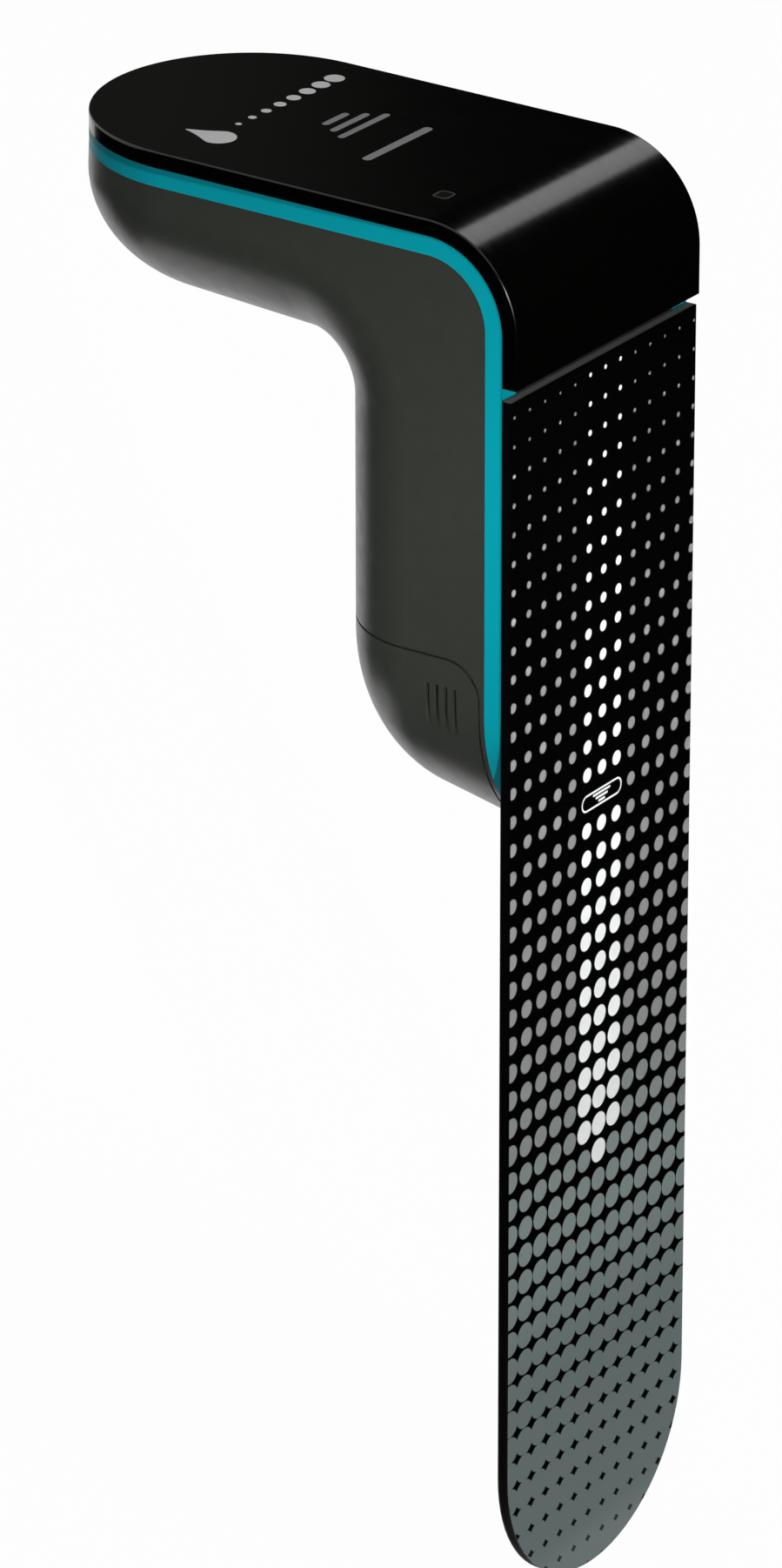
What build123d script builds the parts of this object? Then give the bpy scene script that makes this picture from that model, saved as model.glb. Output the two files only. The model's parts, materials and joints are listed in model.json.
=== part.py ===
from build123d import *
import os
from math import cos, radians, sin

# Soil moisture sensor: a flat probe blade that goes into the ground, a folded housing above it with a
# handle-like arm, and a battery bay in the grip behind the blade.
# Frame, in millimetres: the origin is on the outer face of the blade, at its centre, at the level the
# blade is pushed into the soil. +Z is up, +X is the blade's outward normal, and the arm points to -X.

# Overall sizes
width = 54.0  # blade and housing, side to side
top_height = 105.1  # top of the cover above the soil line, where the bend ends
top_tilt = 0.8  # degrees that the top rises towards the arm's end
bend_radius = 17.2  # outer face of the cover, arm to grip
arm_reach = 68.7  # centre of the arm's round end, behind the blade's face
blade_reach = 142.4  # tip of the blade below the soil line
blade_top = 77.6  # upper edge of the blade
cover_gap = 2.1  # open groove between the blade and the cover
plate_thickness = 2.0  # blade
cover_proud = 0.7  # how far the glossy cover stands out from the blade's face
film_thickness = 0.25  # printed film on each side of the blade's core
trim_depth = 3.2  # coloured frame between the cover and the shell
trim_width = 4.0  # ring width of that frame
cover_edge = 0.4  # rounding of the cover's and the blade's outer edges

# Shell
shell_wall = 2.0
grip_depth = 40.1  # blade's face to the grip's inner face
grip_end_height = 22.35  # centre of the grip's round end, at its front edge
grip_end_draft = 0.205  # rise of the round end per millimetre of depth
arm_depth = 29.1  # top of the cover to the underside, at the arm's end centre
underside_tilt = 3.8  # degrees that the arm's underside rises towards its end
inner_bend = 6.0  # radius between the underside and the grip
flat_half = 4.9  # half the flat strip along the middle of the shell
rounding_depth = 19.0  # depth over which the shell's sides round off

# Battery cover
seam_height = 31.0  # top edge of the battery cover
seam_strip = 0.9  # strip of shell left beside the coloured frame
seam_corner = 6.5
seam_gap = 0.4  # clearance of the cover to the shell
tongue_wall = 1.2
tongue_height = 2.0  # how far the tongue goes up into the shell
tongue_root = 4.0  # height over which the tongue is joined to the cover's wall
tongue_lap = 1.0
rib_count = 4
rib_pitch = 1.75
rib_width = 0.7
rib_height = 8.2
rib_cut = 0.75
rib_level = 21.8  # middle of the finger ribs
rib_depth_place = 13.6  # middle of the finger ribs behind the blade's face

# Cells and their tray
cell_diameter = 14.5
cell_length = 49.5  # without the nub
nub_height = 1.0
nub_diameter = 5.5
cell_spacing = 16.6
cell_depth = 19.0  # cell axis behind the blade's face
cell_foot = 14.5  # lower end of the cells
cell_edge = 0.6
tray_wall = 1.2
tray_clear = 0.35
tray_foot = 20.0
contact_room = 4.0  # above the cells, for the contacts
contact_strip = 0.4
bridge_flat = 13.0  # middle stretch of the bridge contact, on its seat
bridge_rise = 1.4  # how far its ends stand up
bridge_end = 3.0  # its ends beyond the cells' axes
bridge_slope = 1.0
bridge_bend = 2.0
seat_half = 2.0
contact_width = 6.0
contact_bend = 0.7
contact_gap = 0.1  # between the leaf and its cell
positive_reach = 4.0  # plate's end behind the cell's axis
leaf_reach = 6.2  # leaf's fold behind the cell's axis
leaf_end = 1.0  # leaf's tip in front of the cell's axis
tab_offset = 5.2  # contacts' tabs in front of the cells' axes
tab_height = 2.0
bulkhead_thickness = 2.0
gasket_thickness = 1.3

# Chassis, blade fixings
chassis_flange = 1.4
flange_inset = 2.8  # flange edge inside the housing's outline
chassis_rise = 4.0  # chassis above the blade's upper edge
tape_thickness = 0.4
piece_clear = 0.2  # loose fit between pieces of the same body
standoff_diameter = 4.4
screw_diameter = 2.0
screw_clear = 0.4  # added to a diameter for a loose hole
thread_clear = 0.1  # added to a diameter for a threaded hole
head_diameter = 3.8
head_height = 1.4
blade_screw_y = 17.0
blade_screw_heights = (44.0, 70.0)
gasket_inset = 0.7
gasket_width = 0.8
gasket_height = 0.8

# Flat cable from the blade to the board
flex_thickness = 0.3
flex_width = 12.0
flex_foot = 70.5
flex_exit = 75.5  # height where it passes through the chassis
flex_depth = 9.5
flex_bend = 1.2

# Main board
board_thickness = 1.6
board_drop = 15.0  # top of the cover to the board's underside
board_half = 20.0
board_front = 14.0  # front edge behind the blade's face
boss_diameter = 6.0
boss_y = 14.0
boss_offsets = (-22.0, 6.0)  # behind the centre of the arm's round end
boss_hole = 8.0  # depth of the threaded hole
board_screw = 6.0  # length under the board

# Pairing button
moving_gap = 0.3  # clearance around pieces that move
button_diameter = 5.0
button_cap = 6.6
button_cap_height = 1.2
button_reach = 1.2  # how far it stands out below the bulkhead
button_travel = 0.8
button_depth = 32.4
stem_diameter = 2.0
stem_length = 2.3
switch_size = 6.0
switch_height = 3.5
switch_board_thickness = 1.0
switch_board_x = 8.0
switch_board_y = 20.0
post_diameter = 4.6
post_y = 7.4
switch_screw = 3.0  # length under the small board's face

# Status light
light_depth = 20.5
light_inset = 11.0  # status light, in from the cover's side
light_length = 3.2  # along the arm
light_width = 3.6
light_corner = 1.0
light_flange = 1.2
light_clear = 0.1

# Parts on the main board
connector_inset = 0.6
connector_length = 2.4
connector_margin = 1.0
connector_height = 2.0
shield_length = 16.0
shield_width = 15.0
shield_height = 2.8
shield_wall = 0.3
shield_offset = -24.0  # behind the centre of the arm's round end
antenna_offset = -4.0
antenna_length = 20.0
antenna_height = 4.4
antenna_width = 4.0
antenna_bend = 1.0
led_length = 3.2
led_width = 1.6
led_height = 1.1
lead_diameter = 1.2
lead_turns = 4.5  # battery leads: times their bend goes into the room they cross
lead_rise = 2.0
lead_shift = 6.0  # battery leads, towards the arm's end
lead_gather = 0.8  # battery leads, towards the middle
switch_lead_y = 1.5
switch_lead_shift = 2.0
switch_lead_bend = 8.0
switch_lead_slack = (8.0, 4.0)  # under and over the leads' middle

half = width / 2
light_side = light_inset - half
frame_depth = plate_thickness + trim_depth
bend_height = top_height - bend_radius
bend_centre = cover_proud - bend_radius
low = -200.0  # below and above everything, for cuts
high = 200.0
touching = 0.01
seam_depth = frame_depth + seam_strip
tip_height = half - blade_reach
tray_half_y = cell_spacing / 2 + cell_diameter / 2 + tray_clear + tray_wall
tray_half_x = cell_diameter / 2 + tray_clear + tray_wall
cell_top = cell_foot + cell_length + nub_height
tray_top = cell_top + contact_room
tab_x = tab_offset - cell_depth
tab_top = tray_top + tray_wall + tab_height
bulkhead_foot = seam_height + tongue_height + seam_gap + gasket_thickness
bulkhead_top = bulkhead_foot + bulkhead_thickness
chassis_back = frame_depth + chassis_flange
chassis_front = plate_thickness + tape_thickness
board_height = top_height - board_drop
lead_bend = (board_height - tab_top) / lead_turns
board_top = board_height + board_thickness
cap_foot = bulkhead_top + moving_gap
cap_top = cap_foot + button_cap_height
switch_foot = cap_top + button_travel + moving_gap
switch_top = switch_foot + switch_height
screw_places = [(y, z) for y in (-blade_screw_y, blade_screw_y) for z in blade_screw_heights]
boss_points = [(-arm_reach - x, y) for x in boss_offsets for y in (-boss_y, boss_y)]
shield_x = -arm_reach - shield_offset
antenna_x = -arm_reach - antenna_offset


def box(x0, x1, y0, y1, z0, z1):
    """Block between two corners."""
    place = Pos((x0 + x1) / 2, (y0 + y1) / 2, (z0 + z1) / 2)
    return place * Box(abs(x1 - x0), abs(y1 - y0), abs(z1 - z0))


def block(x, y, z0, z1, length, wide):
    """Block centred on an upright axis."""
    return Pos(x, y, (z0 + z1) / 2) * Box(length, wide, z1 - z0)


def rod(x, y, z0, z1, diameter):
    """Upright cylinder."""
    return Pos(x, y, (z0 + z1) / 2) * Cylinder(diameter / 2, z1 - z0)


def rod_x(x0, x1, y, z, diameter):
    """Cylinder along X."""
    return Pos((x0 + x1) / 2, y, z) * Rot(0, 90, 0) * Cylinder(diameter / 2, abs(x1 - x0))


def top_at(x, depth=-cover_proud):
    """Height of the top face, or of a layer below it, at a place along the arm."""
    tilt = radians(top_tilt)
    return bend_height - (bend_centre + depth + (x - bend_centre) * sin(tilt)) / cos(tilt)


def side_region(depth):
    """Everything deeper than a given depth, counted from the blade's face and the bend that follows it."""
    radius = -bend_centre - depth
    turn = 90 - top_tilt
    start = (bend_centre + radius * cos(radians(turn)), bend_height + radius * sin(radians(turn)))
    far = (-2 * arm_reach, top_at(-2 * arm_reach, depth))
    outline = [
        Line((-depth, low), (-depth, bend_height)),
        CenterArc((bend_centre, bend_height), radius, 0, turn),
        Line(start, far),
        Line(far, (far[0], low)),
        Line((far[0], low), (-depth, low)),
    ]
    return extrude(Plane.XZ * make_face(outline), amount=width, both=True)


def arm_plan(inset):
    """Prism over the outline seen from above: straight sides and a round end on the arm."""
    radius = half - inset
    face = Pos(-arm_reach, 0) * Circle(radius)
    face += Pos((bend_radius - arm_reach) / 2, 0) * Rectangle(bend_radius + arm_reach, 2 * radius)
    return extrude(Plane.XY.offset(low) * face, amount=high - low)


def front_plan(inset, centre, top):
    """Prism over the outline seen from the front: straight sides and a round lower end."""
    radius = half - inset
    face = Pos(0, centre) * Circle(radius) + Pos(0, (centre + top) / 2) * Rectangle(2 * radius, top - centre)
    return extrude(Plane.YZ.offset(-2 * arm_reach) * face, amount=3 * arm_reach)


def housing_plan(inset):
    """Outline of the folded housing from above and from the front, as one solid."""
    return arm_plan(inset) & front_plan(inset, grip_end_height, high)


def layer(depth_from, depth_to, inset=0.0):
    """One layer of the folded housing, between two depths."""
    return (side_region(depth_from) - side_region(depth_to)) & housing_plan(inset)


def section(wall, whole=True):
    """Section of the shell: a flat strip, rounded sides and straight walls, from its inner face up."""
    side = half - wall
    tall = 2 * grip_depth
    corner = (flat_half, wall)
    middle = (flat_half, rounding_depth)
    outline = [
        Line((0, wall), corner),
        EllipticalCenterArc(middle, side - flat_half, rounding_depth - wall, start_angle=-90, arc_size=90),
        Line((side, rounding_depth), (side, tall)),
        Line((side, tall), (0, tall)),
        Line((0, tall), (0, wall)),
    ]
    face = make_face(outline)
    return face + mirror(face, about=Plane.YZ) if whole else face


def grip_plane(height):
    """Level plane whose local Y runs from the grip's inner face towards the blade."""
    return Plane(origin=(-grip_depth, 0, height), x_dir=(0, 1, 0), z_dir=(0, 0, -1))


def pivot():
    """Centre of the inner bend, as X and Z."""
    tilt = radians(underside_tilt)
    x = -grip_depth - inner_bend
    under = top_at(-arm_reach) - arm_depth
    return x, under - (inner_bend + (x + arm_reach) * sin(tilt)) / cos(tilt)


def arm_form(wall):
    """Arm of the shell: a straight run and a round end about an axis square to the underside."""
    tilt = radians(underside_tilt)
    centre_x, centre_z = pivot()
    up = (sin(tilt), 0, cos(tilt))
    start = (centre_x + inner_bend * up[0], 0, centre_z + inner_bend * up[2])
    end_z = top_at(-arm_reach, frame_depth)
    run = -(-arm_reach - start[0]) * cos(tilt) + (end_z - start[2]) * sin(tilt)
    end = (start[0] - run * cos(tilt), 0, start[2] + run * sin(tilt))
    first = Plane(origin=start, x_dir=(0, 1, 0), z_dir=(cos(tilt), 0, -sin(tilt)))
    last = Plane(origin=end, x_dir=(0, 1, 0), z_dir=(cos(tilt), 0, -sin(tilt)))
    straight = extrude(first * section(wall), amount=-run)
    round_end = revolve(last * section(wall, whole=False), axis=Axis(end, up), revolution_arc=180)
    return straight + round_end


def bend_form(wall):
    """Inner bend of the shell, turned about its centre from the grip to the arm."""
    centre_x, centre_z = pivot()
    turn = Axis((centre_x, 0, centre_z), (0, -1, 0))
    return revolve(grip_plane(centre_z) * section(wall), axis=turn, revolution_arc=90 - underside_tilt)


def grip_run(wall):
    """Straight grip, from the middle of the outer bend down past its round end."""
    return extrude(grip_plane(bend_height) * section(wall), amount=bend_height + half)


def grip_form(wall):
    """Grip of the shell, straight from the bend down to the sloping start of its round end."""
    return grip_run(wall) - below_end_start()


def below_end_start():
    """Everything under the sloping plane where the grip's round end begins."""
    far = 3 * grip_depth
    near_z = grip_end_height - grip_end_draft * (far + frame_depth)
    far_z = grip_end_height + grip_end_draft * (far - frame_depth)
    face = make_face(Polyline((far, near_z), (-far, far_z), (-far, low), (far, low), (far, near_z)))
    return extrude(Plane.XZ * face, amount=width, both=True)


def end_form(wall):
    """Round end of the grip: the section turned about its middle, with its floor sloping up inwards."""
    axis = Axis((0, 0, grip_end_height), (-1, 0, 0))
    turned = revolve(grip_plane(grip_end_height) * section(wall, whole=False), axis=axis, revolution_arc=180)
    lift = -grip_end_draft * frame_depth
    slope = Matrix([[1, 0, 0, 0], [0, 1, 0, 0], [-grip_end_draft, 0, 1, lift], [0, 0, 0, 1]])
    return turned.transform_geometry(slope)


def form(wall):
    """Whole body of the shell, or its hollow when a wall is given."""
    return arm_form(wall) + bend_form(wall) + grip_form(wall) + end_form(wall)


def strip(points, bend, thickness, wide, y=0.0):
    """Flat strip bent along points given as X and Z."""
    path = FilletPolyline(*points, radius=bend)
    face = Plane.XZ.offset(-y) * trace(path, thickness)
    return extrude(face, amount=wide / 2, both=True)


def tube(points, bend, diameter):
    """Round lead along points."""
    path = FilletPolyline(*points, radius=bend)
    start = Plane(origin=path @ 0, z_dir=path % 0)
    return sweep(start * Circle(diameter / 2), path=path)


def screw_x(x_head, x_end, y, z):
    """Screw along X, its head towards -X."""
    shank = rod_x(x_end, x_head, y, z, screw_diameter)
    return shank + rod_x(x_head, x_head - head_height, y, z, head_diameter)


def screw_z(x, y, z_head, z_end):
    """Screw along Z, its head on top."""
    return rod(x, y, z_end, z_head, screw_diameter) + rod(x, y, z_head, z_head + head_height, head_diameter)


def cover_region(clear):
    """Space of the battery cover: below and behind the seam, with a round corner."""
    front = -seam_depth - clear
    top = seam_height - clear
    face = make_face(Polyline((front, low), (front, top), (low, top), (low, low), (front, low)))
    corner = face.vertices().sort_by(Axis.X)[-2:].sort_by(Axis.Y)[-1]
    face = fillet(corner, seam_corner)
    return extrude(Plane.XZ * face, amount=width, both=True)


def grip_ring(wall, thickness, z0, z1):
    """Band that follows the inside of the grip's walls, open towards the blade."""
    ring = grip_run(wall) - grip_run(wall + thickness)
    return ring & box(-2 * grip_depth, -chassis_back - moving_gap, -width, width, z0, z1)


def shell_skin():
    """Wall of the shell and the battery cover together."""
    return (form(0) & side_region(frame_depth)) - form(shell_wall)


def outline_edges(solid, depth_test):
    """Edges of a plate's outline on the side that faces out."""
    edges = solid.edges().filter_by(lambda e: depth_test(e @ 0.5) and depth_test(e @ 0.2))
    return edges.filter_by(lambda e: abs((e @ 0.5).Y) > half - touching or (e @ 0.5).X < -arm_reach)


def depth_of(point):
    """Depth of a point below the cover's outer face."""
    if point.Z < bend_height:
        return cover_proud - point.X
    tilt = radians(top_tilt)
    across = (point.X - bend_centre) * sin(tilt) + (point.Z - bend_height) * cos(tilt)
    along = (point.X - bend_centre) * cos(tilt) - (point.Z - bend_height) * sin(tilt)
    return bend_radius - (across if along < 0 else (across**2 + along**2) ** 0.5)


def light_slot(grow, z0):
    """Upright prism with the status light's rounded outline."""
    outline = RectangleRounded(light_length + 2 * grow, light_width + 2 * grow, light_corner + grow)
    face = Pos(-light_depth, light_side) * outline
    return extrude(Plane.XY.offset(z0) * face, amount=high - z0)


def make_top_cover():
    """Glossy cover bent over the arm and the upper grip."""
    plate = layer(-cover_proud, plate_thickness) - box(-arm_reach, high, -width, width, low, blade_top + cover_gap)
    plate = fillet(outline_edges(plate, lambda p: depth_of(p) < touching), cover_edge)
    return plate - light_slot(light_clear, board_top)


def make_light_pipe():
    """Clear insert, flush with the cover, that carries the status light up from the board."""
    stem = light_slot(0, board_top + led_height + piece_clear) & side_region(-cover_proud)
    flange_layer = side_region(plate_thickness) - side_region(plate_thickness + light_flange)
    return stem + (light_slot(light_flange, board_top) & flange_layer)


def make_trim_frame():
    """Coloured ring between the cover and the shell, with a groove for its gasket."""
    ring = layer(plate_thickness, frame_depth) - housing_plan(trim_width)
    clear = piece_clear / 2
    groove = layer(frame_depth - gasket_height, frame_depth, gasket_inset - clear)
    return ring - (groove - housing_plan(gasket_inset + gasket_width + clear))


def make_shell_gasket():
    """Ring seal between the frame and the shell's rim."""
    ring = layer(frame_depth - gasket_height, frame_depth, gasket_inset)
    return ring - housing_plan(gasket_inset + gasket_width)


def make_lower_shell():
    """Shell of the arm and the grip, with the bosses that carry the main board."""
    outer = form(0) & side_region(frame_depth)
    bosses = [rod(x, y, 0, board_height, boss_diameter) for x, y in boss_points]
    foot = board_height - boss_hole
    holes = [rod(x, y, foot, high, screw_diameter + thread_clear) for x, y in boss_points]
    skin = shell_skin() - cover_region(0)
    return skin + (Part() + bosses & outer) - holes


def make_battery_cover():
    """Lower end of the grip, with a tongue that enters the shell and the seat of the bridge contact."""
    skin = shell_skin() & cover_region(seam_gap)
    top = seam_height - seam_gap
    root = grip_ring(shell_wall, seam_gap + tongue_wall, top - tongue_root, top)
    tongue = grip_ring(shell_wall + seam_gap, tongue_wall, top - tongue_lap, seam_height + tongue_height)
    seat_top = cell_foot - seam_gap - bridge_rise - contact_strip
    seat = block(-cell_depth, 0, low, seat_top, 2 * seat_half, bridge_flat)
    return skin + root + tongue + (seat & end_form(shell_wall / 2)) - finger_ribs()


def finger_ribs():
    """Grooves for the thumb and finger on both sides of the battery cover."""
    first = -rib_depth_place - (rib_count - 1) / 2 * rib_pitch
    places = [first + index * rib_pitch for index in range(rib_count)]
    foot = rib_level - rib_height / 2
    grooves = [block(x, 0, foot, foot + rib_height, rib_width, 2 * width) for x in places]
    middle = box(-grip_depth, 0, rib_cut - half, half - rib_cut, low, high)
    return [groove - middle for groove in grooves]


def make_bridge_contact():
    """Springy strip in the battery cover that joins the cells' lower ends."""
    level = cell_foot - seam_gap - contact_strip / 2
    points = [
        (-cell_spacing / 2 - bridge_end, level),
        (bridge_slope - bridge_flat / 2, level - bridge_rise),
        (bridge_flat / 2 - bridge_slope, level - bridge_rise),
        (cell_spacing / 2 + bridge_end, level),
    ]
    face = Plane.YZ.offset(-cell_depth) * trace(FilletPolyline(*points, radius=bridge_bend), contact_strip)
    return extrude(face, amount=contact_width / 2, both=True)


def make_cover_gasket():
    """Seal that the battery cover's tongue closes against."""
    foot = seam_height + tongue_height + seam_gap
    return grip_ring(shell_wall + seam_gap, tongue_wall + seam_gap, foot, foot + gasket_thickness)


def make_chassis():
    """Inner plate inside the coloured frame that carries the blade and the tray."""
    top = blade_top + chassis_rise
    plug = front_plan(trim_width + piece_clear, grip_end_height, top)
    plug &= box(-frame_depth, -chassis_front, -width, width, low, high)
    flange = front_plan(flange_inset, grip_end_height, top)
    flange &= box(-chassis_back, -frame_depth, -width, width, low, high)
    plate = plug + flange
    for y, z in screw_places:
        plate -= rod_x(-frame_depth, 0, y, z, standoff_diameter + screw_clear)
        plate -= rod_x(-chassis_back, 0, y, z, screw_diameter + screw_clear)
    return plate - flex_window(-chassis_back, -chassis_front, flex_exit - flex_bend)


def flex_window(x0, x1, foot):
    """Opening that the flat cable passes through."""
    side = flex_width / 2 + piece_clear
    return box(x0, x1, -side, side, foot - screw_clear, flex_exit + flex_bend)


def blade_layer(x0, x1):
    """One layer of the blade, with its round tip."""
    return front_plan(0, tip_height, blade_top) & box(x0, x1, -width, width, low, high)


def make_blade_tape():
    """Adhesive sheet between the blade and the chassis."""
    sheet = front_plan(trim_width + piece_clear, grip_end_height, blade_top)
    sheet &= box(-chassis_front, -plate_thickness, -width, width, low, high)
    sheet -= [rod_x(-frame_depth, 0, y, z, standoff_diameter + screw_clear) for y, z in screw_places]
    return sheet - flex_window(-chassis_front, 0, flex_foot)


def make_back_film():
    """Film on the blade's back, with openings for the threaded spacers."""
    film = blade_layer(-plate_thickness, film_thickness - plate_thickness)
    return film - [rod_x(-frame_depth, 0, y, z, standoff_diameter + screw_clear) for y, z in screw_places]


def make_standoffs():
    """Threaded spacers soldered to the blade's core."""
    foot = film_thickness - plate_thickness
    spacers = []
    for y, z in screw_places:
        body = rod_x(piece_clear - frame_depth, foot, y, z, standoff_diameter)
        spacers.append(body - rod_x(-frame_depth, foot, y, z, screw_diameter + thread_clear))
    return Compound(children=spacers)


def make_blade_screws():
    """Screws that pull the blade's spacers against the chassis."""
    return Compound(children=[screw_x(-chassis_back, -chassis_front, y, z) for y, z in screw_places])


def cell_sides():
    """Places of the two cells across the grip."""
    return (-cell_spacing / 2, cell_spacing / 2)


def make_tray():
    """Holder of the two cells, with the bulkhead that closes the battery bay."""
    top = tray_top + tray_wall
    body = block(-cell_depth, 0, tray_foot, top, 2 * tray_half_x, 2 * tray_half_y)
    bulkhead = grip_run(shell_wall + piece_clear)
    bulkhead &= box(-2 * grip_depth, -chassis_back, -width, width, bulkhead_foot, bulkhead_top)
    thick = tray_wall
    back = -chassis_back
    ribs = [box(-cell_depth, back, y - thick, y + thick, bulkhead_top, tray_top) for y in cell_sides()]
    posts = [rod(-button_depth, y, bulkhead_foot, switch_top, post_diameter) for y in (-post_y, post_y)]
    tray = body + bulkhead + ribs + posts
    bore = cell_diameter + 2 * tray_clear
    tray -= [rod(-cell_depth, y, tray_foot, tray_top, bore) for y in cell_sides()]
    thread = screw_diameter + thread_clear
    tray -= [rod(-button_depth, y, cap_top, high, thread) for y in (-post_y, post_y)]
    tray -= rod(-button_depth, 0, low, bulkhead_top, button_diameter + 2 * moving_gap)
    return tray - [tab_slot(y) for y in cell_sides()]


def tab_slot(y):
    """Slot in the tray's top for a contact's tab."""
    thick = contact_strip + 2 * piece_clear
    return block(tab_x, y, tray_top - piece_clear, high, thick, contact_width + 2 * piece_clear)


def make_cell(y, nub_up):
    """Dry cell standing in the tray."""
    foot = cell_foot if nub_up else cell_foot + nub_height
    body = rod(-cell_depth, y, foot, foot + cell_length, cell_diameter)
    body = fillet(body.edges().filter_by(GeomType.CIRCLE), cell_edge)
    nub_foot = foot + cell_length if nub_up else cell_foot
    return body + rod(-cell_depth, y, nub_foot, nub_foot + nub_height, nub_diameter)


def make_contact_positive():
    """Plate over one cell's nub, with its tab through the tray's top."""
    level = cell_top + contact_strip / 2
    points = [(tab_x, tab_top), (tab_x, level), (-cell_depth - positive_reach, level)]
    return strip(points, contact_bend, contact_strip, contact_width, -cell_spacing / 2)


def make_contact_negative():
    """Folded leaf over the other cell's flat end, with its tab through the tray's top."""
    upper = tray_top - contact_strip
    lower = cell_top + contact_strip / 2 + contact_gap
    points = [
        (tab_x, tab_top),
        (tab_x, upper),
        (-cell_depth - leaf_reach, upper),
        (leaf_end - cell_depth, lower),
    ]
    return strip(points, contact_bend, contact_strip, contact_width, cell_spacing / 2)


def make_battery_leads():
    """Leads from the contacts to the underside of the main board."""
    leads = []
    level = (tab_top + board_height) / 2
    x = tab_x - lead_shift
    for y in cell_sides():
        end_y = lead_gather * y
        points = [(tab_x, y, tab_top), (tab_x, y, level - lead_rise), (x, end_y, level + lead_rise)]
        points.append((x, end_y, board_height))
        leads.append(tube(points, lead_bend, lead_diameter))
    return Compound(children=leads)


def make_main_board():
    """Main circuit board along the arm."""
    face = Pos(-arm_reach, 0) * Circle(board_half)
    face += Pos(-(arm_reach + board_front) / 2, 0) * Rectangle(arm_reach - board_front, 2 * board_half)
    board = extrude(Plane.XY.offset(board_height) * face, amount=board_thickness)
    return board - [rod(x, y, 0, high, screw_diameter + screw_clear) for x, y in boss_points]


def make_radio_shield():
    """Metal can over the radio."""
    roof = board_top + shield_height
    length = shield_length - 2 * shield_wall
    wide = shield_width - 2 * shield_wall
    can = block(shield_x, 0, board_top, roof, shield_length, shield_width)
    return can - block(shield_x, 0, board_top, roof - shield_wall, length, wide)


def make_antenna():
    """Bent strip antenna at the arm's end of the board."""
    level = board_top + antenna_height
    points = [(antenna_x, board_top), (antenna_x, level), (antenna_x - antenna_length, level)]
    return strip(points, antenna_bend, contact_strip, antenna_width)


def make_connector():
    """Connector of the flat cable at the board's front edge."""
    x = -board_front - connector_inset - connector_length / 2
    wide = flex_width + 2 * connector_margin
    return block(x, 0, board_top, board_top + connector_height, connector_length, wide)


def make_flex():
    """Flat cable from the blade through the chassis up to the board."""
    x = -plate_thickness - flex_thickness / 2
    level = board_top + connector_height / 2
    end = -board_front - connector_inset
    points = [(x, flex_foot), (x, flex_exit), (-flex_depth, flex_exit), (-flex_depth, level), (end, level)]
    return strip(points, flex_bend, flex_thickness, flex_width)


def make_status_led():
    """Light-emitting chip under the light pipe."""
    return block(-light_depth, light_side, board_top, board_top + led_height, led_length, led_width)


def make_switch_board():
    """Small board over the pairing button."""
    top = switch_top + switch_board_thickness
    plate = block(-button_depth, 0, switch_top, top, switch_board_x, switch_board_y)
    hole = screw_diameter + screw_clear
    return plate - [rod(-button_depth, y, 0, high, hole) for y in (-post_y, post_y)]


def make_switch_body():
    """Housing of the pairing switch, hanging under its board."""
    body = block(-button_depth, 0, switch_foot, switch_top, switch_size, switch_size)
    well = cap_top + stem_length + button_travel + moving_gap
    return body - rod(-button_depth, 0, 0, well, stem_diameter + 2 * moving_gap)


def make_pairing_button():
    """Button that reaches down through the bulkhead into the battery bay."""
    shaft = rod(-button_depth, 0, bulkhead_foot - button_reach, cap_foot, button_diameter)
    return shaft + rod(-button_depth, 0, cap_foot, cap_top, button_cap)


def make_switch_leads():
    """Leads from the small board to the main board."""
    leads = []
    foot = switch_top + switch_board_thickness
    middle = (foot + board_height) / 2
    under, over = switch_lead_slack
    x = -button_depth - switch_lead_shift
    end = x - switch_lead_shift
    for y in (-switch_lead_y, switch_lead_y):
        points = [(x, y, foot), (x, y, middle - under), (end, y, middle + over), (end, y, board_height)]
        leads.append(tube(points, switch_lead_bend, lead_diameter))
    return Compound(children=leads)


def make_board_screws():
    """Screws that hold the main board on its bosses."""
    end = board_height - board_screw
    return Compound(children=[screw_z(x, y, board_top, end) for x, y in boss_points])


def make_switch_screws():
    """Screws that hold the small board on its posts."""
    head = switch_top + switch_board_thickness
    end = switch_top - switch_screw
    return Compound(children=[screw_z(-button_depth, y, head, end) for y in (-post_y, post_y)])


def make_all():
    """Every piece by name."""
    return {
        "top_cover": make_top_cover(),
        "light_pipe": make_light_pipe(),
        "trim_frame": make_trim_frame(),
        "shell_gasket": make_shell_gasket(),
        "lower_shell": make_lower_shell(),
        "chassis_plate": make_chassis(),
        "probe_core": blade_layer(film_thickness - plate_thickness, -film_thickness),
        "front_film": blade_layer(-film_thickness, 0),
        "back_film": make_back_film(),
        "blade_tape": make_blade_tape(),
        "blade_standoffs": make_standoffs(),
        "blade_screws": make_blade_screws(),
        "battery_tray": make_tray(),
        "battery_left": make_cell(cell_spacing / 2, nub_up=False),
        "battery_right": make_cell(-cell_spacing / 2, nub_up=True),
        "contact_negative": make_contact_negative(),
        "contact_positive": make_contact_positive(),
        "battery_leads": make_battery_leads(),
        "main_board": make_main_board(),
        "radio_shield": make_radio_shield(),
        "antenna": make_antenna(),
        "status_led": make_status_led(),
        "flex_connector": make_connector(),
        "probe_flex": make_flex(),
        "board_screws": make_board_screws(),
        "switch_board": make_switch_board(),
        "switch_body": make_switch_body(),
        "switch_screws": make_switch_screws(),
        "switch_leads": make_switch_leads(),
        "cover_gasket": make_cover_gasket(),
        "battery_cover": make_battery_cover(),
        "bridge_contact": make_bridge_contact(),
        "pairing_button": make_pairing_button(),
        "switch_plunger": rod(-button_depth, 0, cap_top, cap_top + stem_length, stem_diameter),
    }


os.makedirs("parts", exist_ok=True)
for name, piece in make_all().items():
    export_step(piece, f"parts/{name}.step")
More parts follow.
